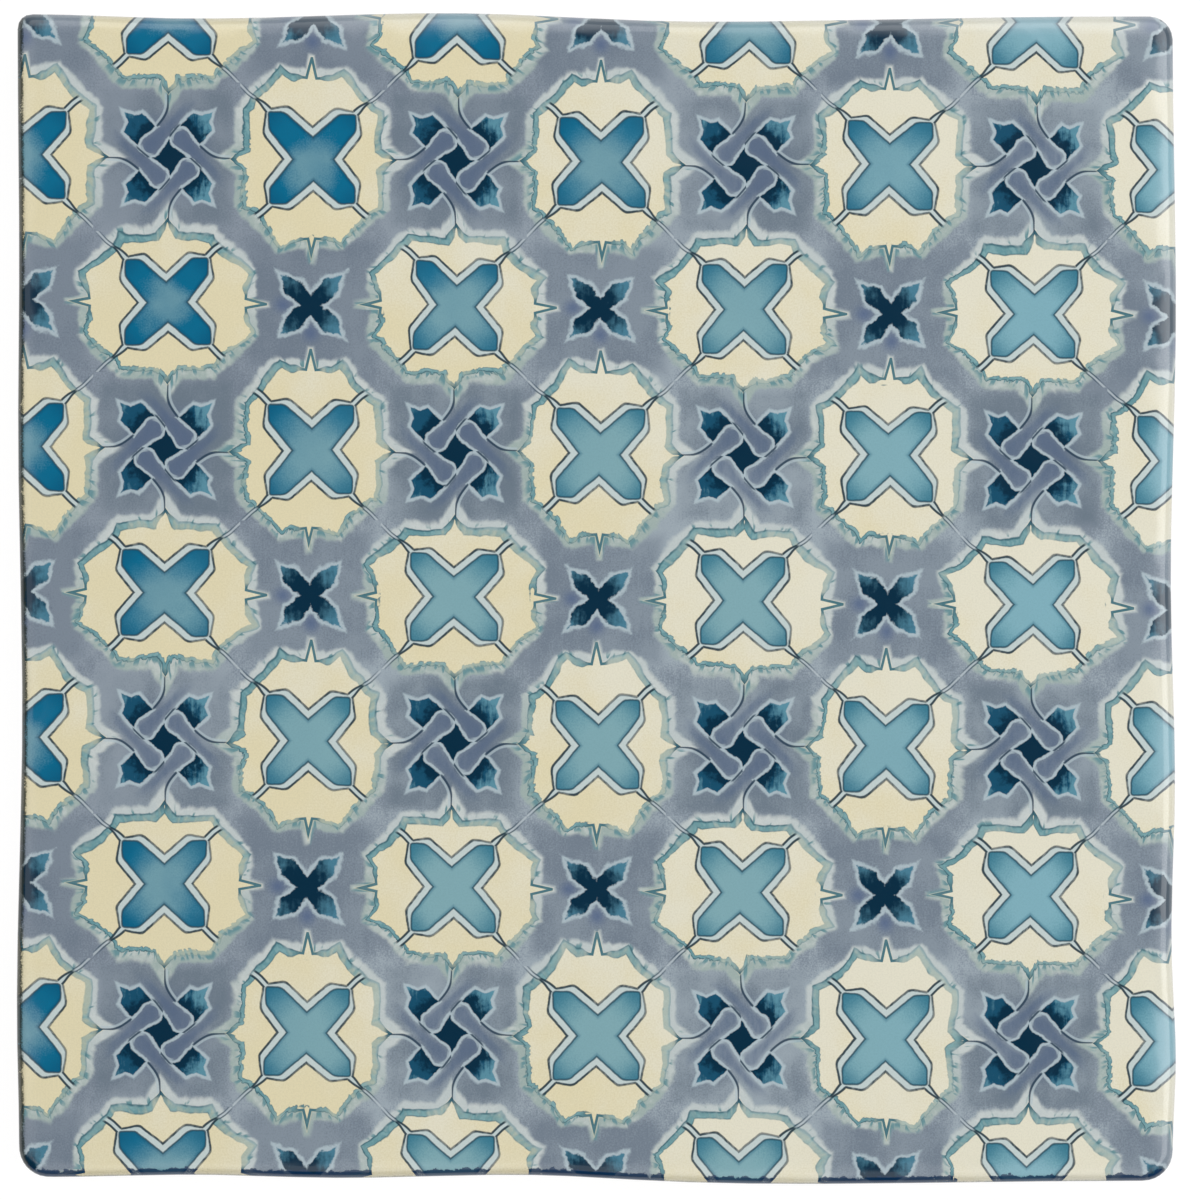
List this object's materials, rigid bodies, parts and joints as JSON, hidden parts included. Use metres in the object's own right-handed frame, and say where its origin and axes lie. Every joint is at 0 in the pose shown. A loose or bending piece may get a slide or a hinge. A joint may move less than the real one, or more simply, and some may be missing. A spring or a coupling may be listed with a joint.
{
  "type": "ceramic wall tile",
  "caption": "Square hand-pressed ceramic tile with a rolled, gently wavy edge, a keyed back and a glossy glaze printed with an interlaced lattice of knots, stars and crosses.",
  "frame": {"origin": "under the middle of the tile, on the plane of its back", "axes": "+Z out of the glazed face, +Y to the far side, which is the top of the picture, and +X to its right"},
  "size_m": [0.13, 0.1313, 0.01],
  "materials": {
    "glaze": "glossy transparent glaze over a printed cream, grey-blue, teal and navy lattice, with bare biscuit on the back and low on the edges"
  },
  "bodies": {
    "root": {"tile": "glaze"}
  },
  "joints": []
}
